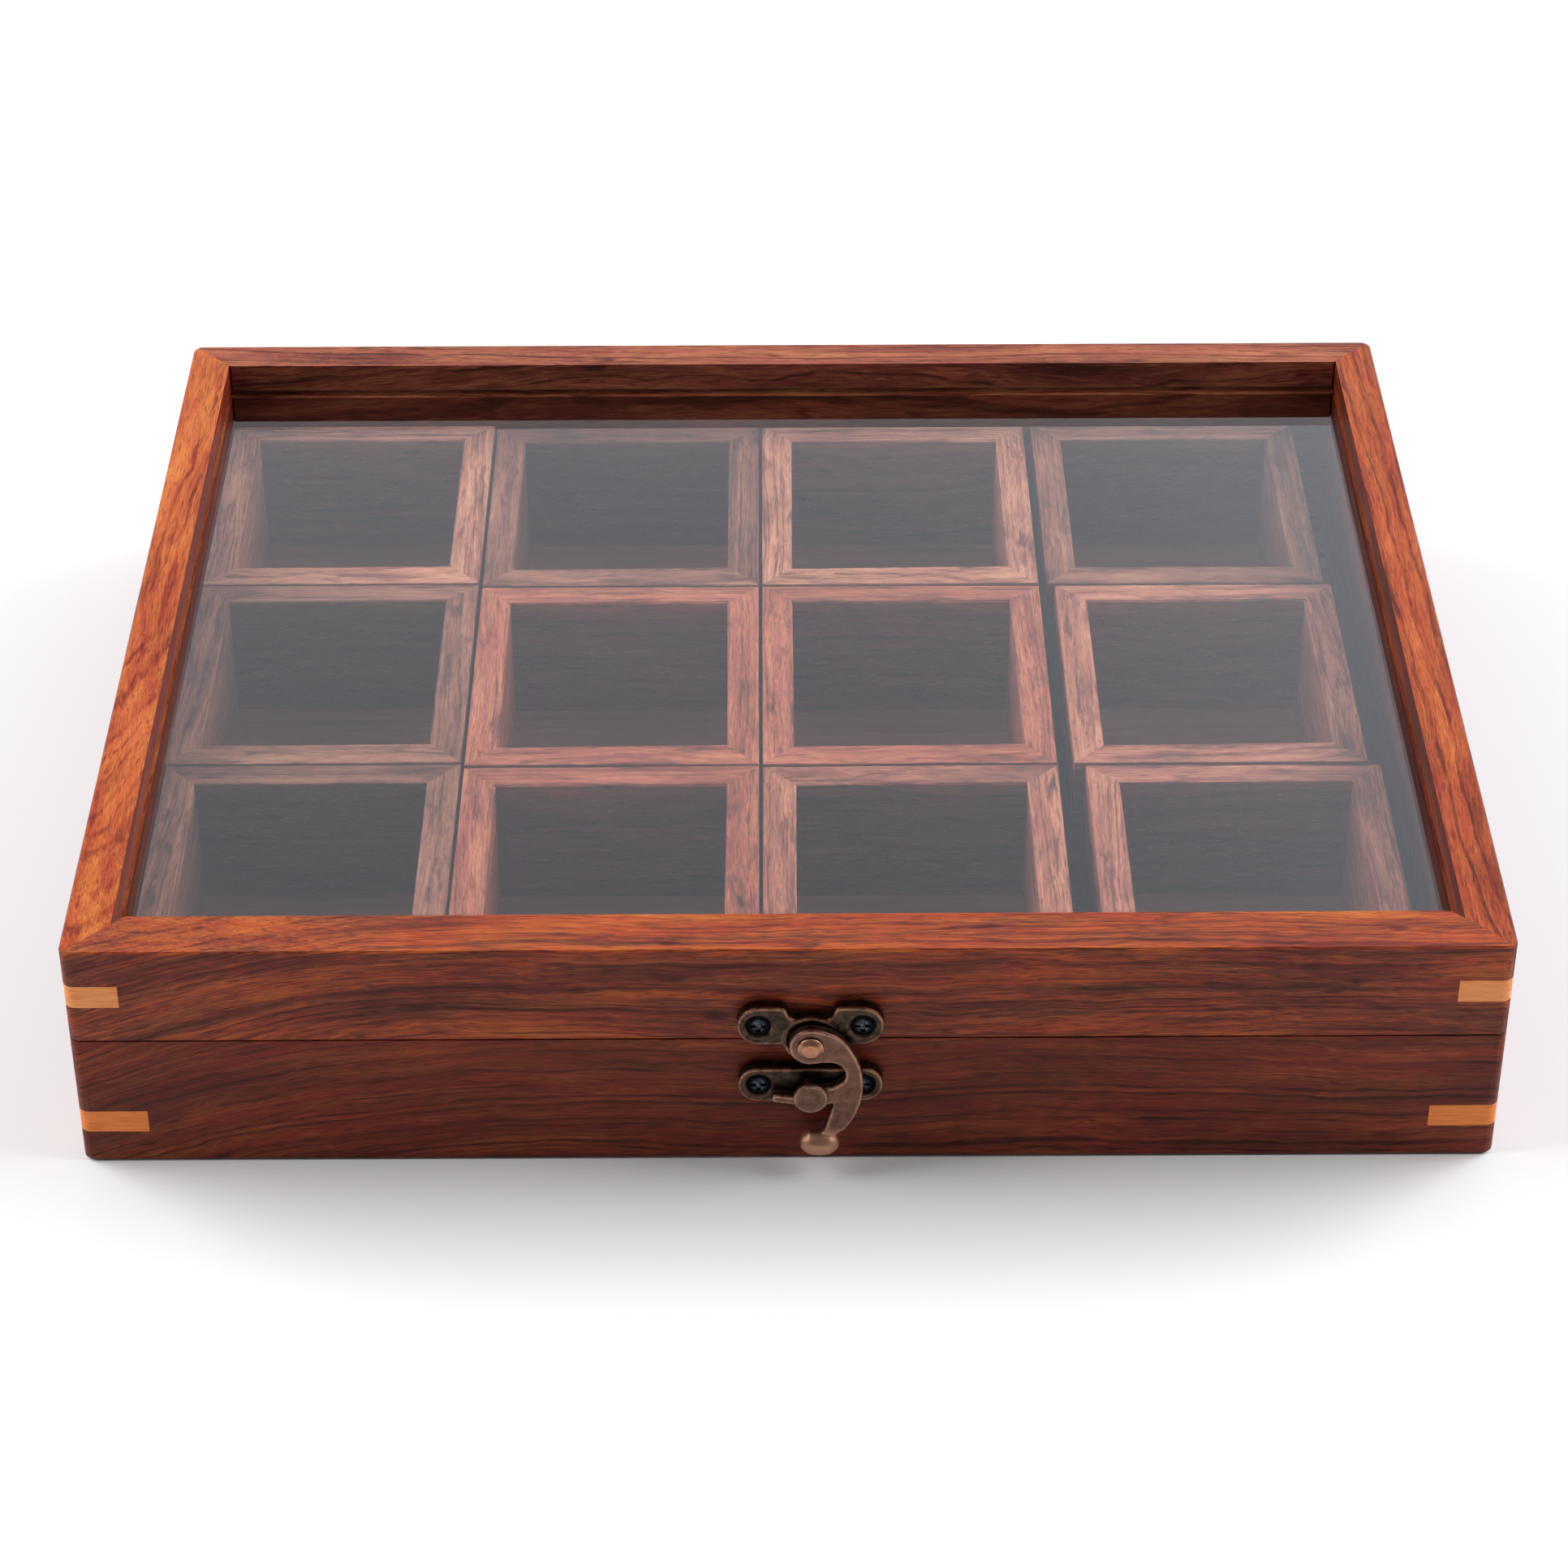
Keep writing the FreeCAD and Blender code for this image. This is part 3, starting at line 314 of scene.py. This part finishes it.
rail_tones = {
    "front": [(0.20, "#461B12"), (0.40, "#703224"), (0.58, "#A44A24"), (0.74, "#BC5E2C"), (0.90, "#D27838")],
    "right": [(0.20, "#4A160C"), (0.42, "#823218"), (0.58, "#A24824"), (0.74, "#BA6030"), (0.90, "#D08040")],
    "back": [(0.20, "#3C1A12"), (0.40, "#6A3024"), (0.58, "#985238"), (0.74, "#AE6448"), (0.90, "#BE7A58")],
    "left": [(0.20, "#641E10"), (0.42, "#983C1C"), (0.58, "#B45828"), (0.74, "#C66C34"), (0.90, "#D68448")],
}
# Painted shade: the fourth value in each entry is how much darker the rail's vertical and downward faces are painted
# than its top.
lid_boards = {"front": ("X", (-0.165, 0.005), (-0.06, 2.0), 0.12, (0, 1, 0)),
              "right": ("Y", (-0.19, 0.005), (0.0, 0.5), 0.28, (-1, 0, 0)),
              "back": ("X", (0.18, 0.03), (0.05, 0.3), 0.14, (0, -1, 0)),
              "left": ("Y", (0.155, 0.02), (0.02, 0.7), 0.3, (1, 0, 0))}
glass_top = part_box("glass_panel")[1][2]


def bare_lip(finish, inward):
    """Show a line of raw wood at the lip of the glass groove, and paint shade on the inner faces below the glass."""
    tree = finish.node_tree
    shader = tree.nodes["Principled BSDF"]
    face = shader.inputs["Base Color"].links[0].from_socket
    spot = add(tree, "TexCoord").outputs
    height = add(tree, "SeparateXYZ", {0: spot["Object"]}).outputs["Z"]
    inner = add(tree, "VectorMath", {0: spot["Normal"], 1: inward}, operation="DOT_PRODUCT").outputs["Value"]
    inner = maths(tree, "GREATER_THAN", inner, 0.5)
    raw = maths(tree, "COMPARE", height, glass_top + 1.35 * mm, 0.22 * mm)
    patchy = streaks(tree, along_grain(tree, "X" if inward[1] else "Y"), 12 * mm, 3 * mm, 77.0, 3.0, 0.35, 0.6)
    below = maths(tree, "LESS_THAN", height, glass_top)
    # Painted shade: inner faces below the glass are mixed 0.35 of the way towards near-black.
    painted_shade_below = add(tree, "Mix", {"Factor": maths(tree, "MULTIPLY", maths(tree, "MULTIPLY", below, inner), 0.35),
                             "A": face, "B": colour("#1C1010")}, data_type="RGBA").outputs["Result"]
    lip = maths(tree, "MULTIPLY", maths(tree, "MULTIPLY", raw, inner), maths(tree, "MULTIPLY", patchy, 0.6))
    mixed = add(tree, "Mix", {"Factor": lip, "A": painted_shade_below, "B": colour("#7C5230")}, data_type="RGBA")
    tree.links.new(mixed.outputs["Result"], shader.inputs["Base Color"])


for number, (side, (run, pith, sweep, painted_face_shade, inward)) in enumerate(lid_boards.items()):
    rail = lacquered_rosewood(f"lacquered_rosewood_lid_{side}", run, 50.3 + 6.1 * number, pith, 1.4 * mm,
                              sweep, painted_face_shade, rail_tones[side], 0.18 if side == "front" else 0.24)
    bare_lip(rail, inward)
    dress(f"lid_{side}_rail", rail)
    ease(f"lid_{side}_rail", 0.4 * mm)


# ---- Lid splines ----
# The same pale keys as in the base, here thinner and a little lighter.

dress("lid_corner_splines", lacquered_maple("lacquered_maple_lid", 8.0, [(0.35, "#E07C3C"), (0.6, "#F09A54")]))


# ---- Glass ----
# A pane of clear 3 mm float glass that sits loose in the rails' groove.
# IOR 1.52; shadows pass it as light does, so that the cups below are lit.

float_glass, tree, shader = material("clear_float_glass", Roughness=0.0, IOR=1.52, Transmission_Weight=1.0)
shader.inputs["Base Color"].default_value = colour("#F4F8F7")
ray = add(tree, "LightPath").outputs["Is Shadow Ray"]
clear = add(tree, "BsdfTransparent", {"Color": colour("#E6ECEB")}).outputs[0]
both = add(tree, "MixShader", {0: ray, 1: shader.outputs[0], 2: clear}).outputs[0]
tree.links.new(both, tree.nodes["Material Output"].inputs["Surface"])
dress("glass_panel", float_glass)


# ---- Latch plates ----
# Stamped steel plates with an antique copper finish: plated, darkened to brown, then rubbed
# so that bare copper shows along the edges. Screwed flat to the lid and the base.

def soften(node, grid, passes):
    """Melt a CAD piece's edges round, as casting, plating and rubbing leave them."""
    weld = nodes[node].modifiers.new("join", "WELD")
    weld.merge_threshold = 1e-6
    remesh = nodes[node].modifiers.new("grid", "REMESH")
    remesh.mode = "VOXEL"
    remesh.voxel_size = grid
    remesh.use_smooth_shade = True
    smooth = nodes[node].modifiers.new("melt", "SMOOTH")
    smooth.factor = 0.5
    smooth.iterations = passes


def antique_copper(name, dark, mid, bare, wear, handled=-1.0):
    """Darkened copper plate, worn bright at proud edges and below a handled level: a metal, roughness 0.4."""
    made, tree, shader = material(name, Roughness=0.4, Metallic=1.0)
    where = add(tree, "TexCoord").outputs["Object"]
    patches = add(tree, "TexNoise", {"Vector": where, "Scale": 1 / (2.2 * mm), "Detail": 5.0,
                                     "Roughness": 0.65}).outputs["Fac"]
    patina = ramp(tree, patches, [(0.38, dark), (0.66, mid)])
    flat = add(tree, "NewGeometry").outputs["Normal"]
    eased = add(tree, "Bevel", {"Radius": 1.0 * mm}, samples=8).outputs[0]
    facing = add(tree, "VectorMath", {0: flat, 1: eased}, operation="DOT_PRODUCT").outputs["Value"]
    edge = add(tree, "MapRange", {"Value": facing, "From Min": 0.999, "From Max": 0.96, "To Max": 1.0}).outputs[0]
    rubbed = maths(tree, "MULTIPLY", edge, add(tree, "MapRange", {"Value": patches, "From Min": 0.3,
                                                                  "From Max": 0.55}).outputs[0])
    height = add(tree, "SeparateXYZ", {0: where}).outputs["Z"]
    fingers = add(tree, "MapRange", {"Value": height, "From Min": handled, "From Max": handled + 2 * mm,
                                     "To Min": 0.6, "To Max": 0.0}).outputs[0]
    rubbed = maths(tree, "MINIMUM", maths(tree, "ADD", maths(tree, "ADD", rubbed, wear), fingers), 1.0)
    mixed = add(tree, "Mix", {"Factor": rubbed, "A": patina, "B": colour(bare)}, data_type="RGBA")
    tree.links.new(mixed.outputs["Result"], shader.inputs["Base Color"])
    rough = maths(tree, "MULTIPLY_ADD", fingers, 0.2, maths(tree, "MULTIPLY_ADD", patches, 0.3, 0.24))
    tree.links.new(rough, shader.inputs["Roughness"])
    pits = add(tree, "TexNoise", {"Vector": where, "Scale": 1 / (0.5 * mm), "Detail": 2.0}).outputs["Fac"]
    bump = add(tree, "Bump", {"Height": pits, "Distance": 0.02 * mm, "Strength": 0.5})
    tree.links.new(bump.outputs["Normal"], shader.inputs["Normal"])
    return made


plate_copper = antique_copper("antique_copper_plate", "#2A211C", "#4C3F36", "#C08A6A", 0.0)
for plate in ("latch_plate", "keeper_plate"):
    dress(plate, plate_copper)
    soften(plate, 0.22 * mm, 8)


# ---- Latch arm, rivet and keeper post ----
# The arm is cast, plated the same way and rubbed bright by fingers, most of all at its knob.
# It turns on a round-headed rivet and hooks under a headed post.

def round_off(node, level, fade, passes, share):
    """Blur a softened piece's shape below a level and draw it towards an egg, so that its knob comes out round."""
    low_part = [vertex.co for vertex in nodes[node].data.vertices if vertex.co.z < level]
    sides = [(min(spot[axis] for spot in low_part), max(spot[axis] for spot in low_part)) for axis in range(3)]
    group = bpy.data.node_groups.new("round_off", "GeometryNodeTree")
    group.interface.new_socket("Geometry", in_out="INPUT", socket_type="NodeSocketGeometry")
    group.interface.new_socket("Geometry", in_out="OUTPUT", socket_type="NodeSocketGeometry")
    nodes_new = group.nodes.new
    start, end = nodes_new("NodeGroupInput"), nodes_new("NodeGroupOutput")
    place, split = nodes_new("GeometryNodeInputPosition"), nodes_new("ShaderNodeSeparateXYZ")
    group.links.new(place.outputs[0], split.inputs[0])
    mask = add(group, "MapRange", {"Value": split.outputs["Z"], "From Min": level, "From Max": level + fade,
                                   "To Min": 1.0, "To Max": 0.0}).outputs[0]
    centre = [sum(side) / 2 for side in sides]
    radii = [(side[1] - side[0]) / 2 for side in sides]
    out = add(group, "VectorMath", {0: place.outputs[0], 1: centre}, operation="SUBTRACT").outputs[0]
    out = add(group, "VectorMath", {0: out, 1: radii}, operation="DIVIDE").outputs[0]
    out = add(group, "VectorMath", {0: out}, operation="NORMALIZE").outputs[0]
    egg = add(group, "VectorMath", {0: out, 1: radii, 2: centre}, operation="MULTIPLY_ADD").outputs[0]
    drawn = add(group, "Mix", {"Factor": maths(group, "MULTIPLY", mask, share), "A": place.outputs[0], "B": egg},
                data_type="VECTOR").outputs["Result"]
    blur = nodes_new("GeometryNodeBlurAttribute")
    blur.data_type = "FLOAT_VECTOR"
    blur.inputs["Iterations"].default_value = passes
    group.links.new(mask, blur.inputs["Weight"])
    group.links.new(drawn, [socket for socket in blur.inputs if socket.name == "Value"
                            and socket.type == "VECTOR"][0])
    moved = nodes_new("GeometryNodeSetPosition")
    group.links.new(start.outputs[0], moved.inputs["Geometry"])
    group.links.new([socket for socket in blur.outputs if socket.type == "VECTOR"][0], moved.inputs["Position"])
    group.links.new(moved.outputs[0], end.inputs[0])
    nodes[node].modifiers.new("knob", "NODES").node_group = group


knob_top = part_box("latch_arm")[0][2] + 5.5 * mm
dress("latch_arm", antique_copper("antique_copper_arm", "#432F28", "#6E4E42", "#D09C80", 0.08, knob_top))
soften("latch_arm", 0.2 * mm, 8)
round_off("latch_arm", knob_top, 1.5 * mm, 12, 0.7)
dress("latch_rivet", antique_copper("antique_copper_rivet", "#7A4C3A", "#A87258", "#D09A7C", 0.3))
soften("latch_rivet", 0.15 * mm, 12)
dress("keeper_post", antique_copper("antique_copper_post", "#443229", "#6A5044", "#B88C72", 0.08))
soften("keeper_post", 0.18 * mm, 12)


# ---- Latch screws ----
# Countersunk cross-head wood screws, blackened in oil, with a painted bluish glint near the cross.
# They sit low in the plates; the rims of their heads are painted dark as painted shade.

def blackened_steel(name, centres, spread):
    """Oil-blackened steel with a painted glint towards the centre of each of two screw heads and painted shade round
    their rims: a metal, roughness 0.35.
    """
    made, tree, shader = material(name, Roughness=0.35, Metallic=1.0)
    where = add(tree, "TexCoord").outputs["Object"]
    split = add(tree, "SeparateXYZ", {0: where})
    out = maths(tree, "SUBTRACT", maths(tree, "ABSOLUTE", maths(tree, "SUBTRACT", split.outputs[0], centres[0])), spread)
    up = maths(tree, "SUBTRACT", split.outputs[2], centres[2])
    radius = maths(tree, "SQRT", maths(tree, "ADD", maths(tree, "MULTIPLY", out, out), maths(tree, "MULTIPLY", up, up)))
    # Painted glint and shade: lighter bluish steel within 1.2 mm of each head's centre, fading to black by 1.9 mm.
    bright = add(tree, "MapRange", {"Value": radius, "From Min": 1.2 * mm, "From Max": 1.9 * mm, "To Min": 1.0,
                                    "To Max": 0.0}).outputs[0]
    scale = add(tree, "TexNoise", {"Vector": where, "Scale": 1 / (0.8 * mm), "Detail": 3.0}).outputs["Fac"]
    blackened_with_painted_light = ramp(tree, maths(tree, "MULTIPLY", bright, scale), [(0.0, "#08080A"), (0.45, "#2C3036"), (0.7, "#5A626C")])
    tree.links.new(blackened_with_painted_light, shader.inputs["Base Color"])
    return made


for screws in ("latch_screws", "keeper_screws"):
    low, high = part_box(screws)
    spread = (high[0] - low[0]) / 2 - (high[2] - low[2]) / 2
    dress(screws, blackened_steel(f"oil_blackened_steel_{screws}", (low + high) / 2, spread))
    ease(screws, 0.25 * mm)


# ---- Hinges ----
# Small butt hinges of rolled sheet with the latch's copper finish, held by blackened
# round-headed nails driven into the back of the base and of the lid.

hinge_copper = antique_copper("antique_copper_hinge", "#33271F", "#5C4638", "#B98A70", 0.05)
nail_steel, tree, shader = material("oil_blackened_steel_nails", Roughness=0.4, Metallic=1.0)
scale = add(tree, "TexNoise", {"Vector": add(tree, "TexCoord").outputs["Object"], "Scale": 1 / (0.8 * mm),
                               "Detail": 3.0}).outputs["Fac"]
tree.links.new(ramp(tree, scale, [(0.35, "#101114"), (0.65, "#2C2F36")]), shader.inputs["Base Color"])
for side in ("left", "right"):
    for piece in ("hinge_base_leaf", "hinge_lid_leaf", "hinge_pin"):
        dress(f"{side}_{piece}", hinge_copper)
        ease(f"{side}_{piece}", 0.15 * mm)
for nails in ("hinge_base_nails", "hinge_lid_nails"):
    dress(nails, nail_steel)
    ease(nails, 0.2 * mm)


# ---- Studio ----
# A seamless pale floor, a white wall behind that the glass mirrors, and a large soft box on
# each side. Little light falls from straight above, so the cups stay dark inside; painted shade on their walls darkens
# them too.

floor_mesh = bpy.data.meshes.new("floor")
floor_mesh.from_pydata([(-6, -6, -0.0002), (6, -6, -0.0002), (6, 6, -0.0002), (-6, 6, -0.0002)], [], [(0, 1, 2, 3)])
floor = bpy.data.objects.new("floor", floor_mesh)
bpy.context.scene.collection.objects.link(floor)
paper, tree, shader = material("white_paper_sweep", Roughness=0.9, Specular_IOR_Level=0.1)
shader.inputs["Base Color"].default_value = colour("#FCFCFC")
floor_mesh.materials.append(paper)

world = bpy.data.worlds.new("studio")
bpy.context.scene.world = world
world.use_nodes = True
tree = world.node_tree
way = add(tree, "SeparateXYZ", {0: add(tree, "TexCoord").outputs["Generated"]}).outputs
wall = add(tree, "MapRange", {"Value": way["Y"], "From Min": -0.1, "From Max": 0.5},
           interpolation_type="SMOOTHSTEP").outputs[0]
higher = add(tree, "MapRange", {"Value": way["Z"], "From Min": 0.44, "From Max": 0.66, "To Min": 1.0,
                                "To Max": 0.62}).outputs[0]
open_above = add(tree, "MapRange", {"Value": way["Z"], "From Min": 0.70, "From Max": 0.96, "To Min": 1.0,
                                    "To Max": 0.0}, interpolation_type="SMOOTHSTEP").outputs[0]
lean = add(tree, "MapRange", {"Value": way["X"], "From Min": 0.0, "From Max": 0.2, "To Min": 0.92, "To Max": 1.36},
           interpolation_type="SMOOTHSTEP").outputs[0]
glow = maths(tree, "MULTIPLY", maths(tree, "MULTIPLY", wall, higher), maths(tree, "MULTIPLY", open_above, lean))
tree.links.new(maths(tree, "ADD", glow, 0.15), tree.nodes["Background"].inputs["Strength"])
tree.nodes["Background"].inputs["Color"].default_value = colour("#F2F5FF")

for name, side, power in (("left_soft_box", -1, 18.0), ("right_soft_box", 1, 18.0)):
    soft_box = bpy.data.lights.new(name, "AREA")
    soft_box.shape = "RECTANGLE"
    soft_box.size = 1.2
    soft_box.size_y = 0.8
    soft_box.energy = power
    lamp = bpy.data.objects.new(name, soft_box)
    lamp.location = (side * 1.1, 0.15, 0.85)
    lamp.rotation_euler = (-lamp.location).to_track_quat("-Z", "Y").to_euler()
    bpy.context.scene.collection.objects.link(lamp)

camera = bpy.data.cameras.new("camera")
camera.sensor_width = 36.0
camera.lens = 93.647
viewer = bpy.data.objects.new("camera", camera)
viewer.location = (-3.923 * mm, -787.719 * mm, 568.583 * mm)
viewer.rotation_euler = [math.radians(angle) for angle in (54.5453, 0.0814, -0.3191)]
bpy.context.scene.collection.objects.link(viewer)
bpy.context.scene.camera = viewer
bpy.context.scene.view_settings.view_transform = "Standard"
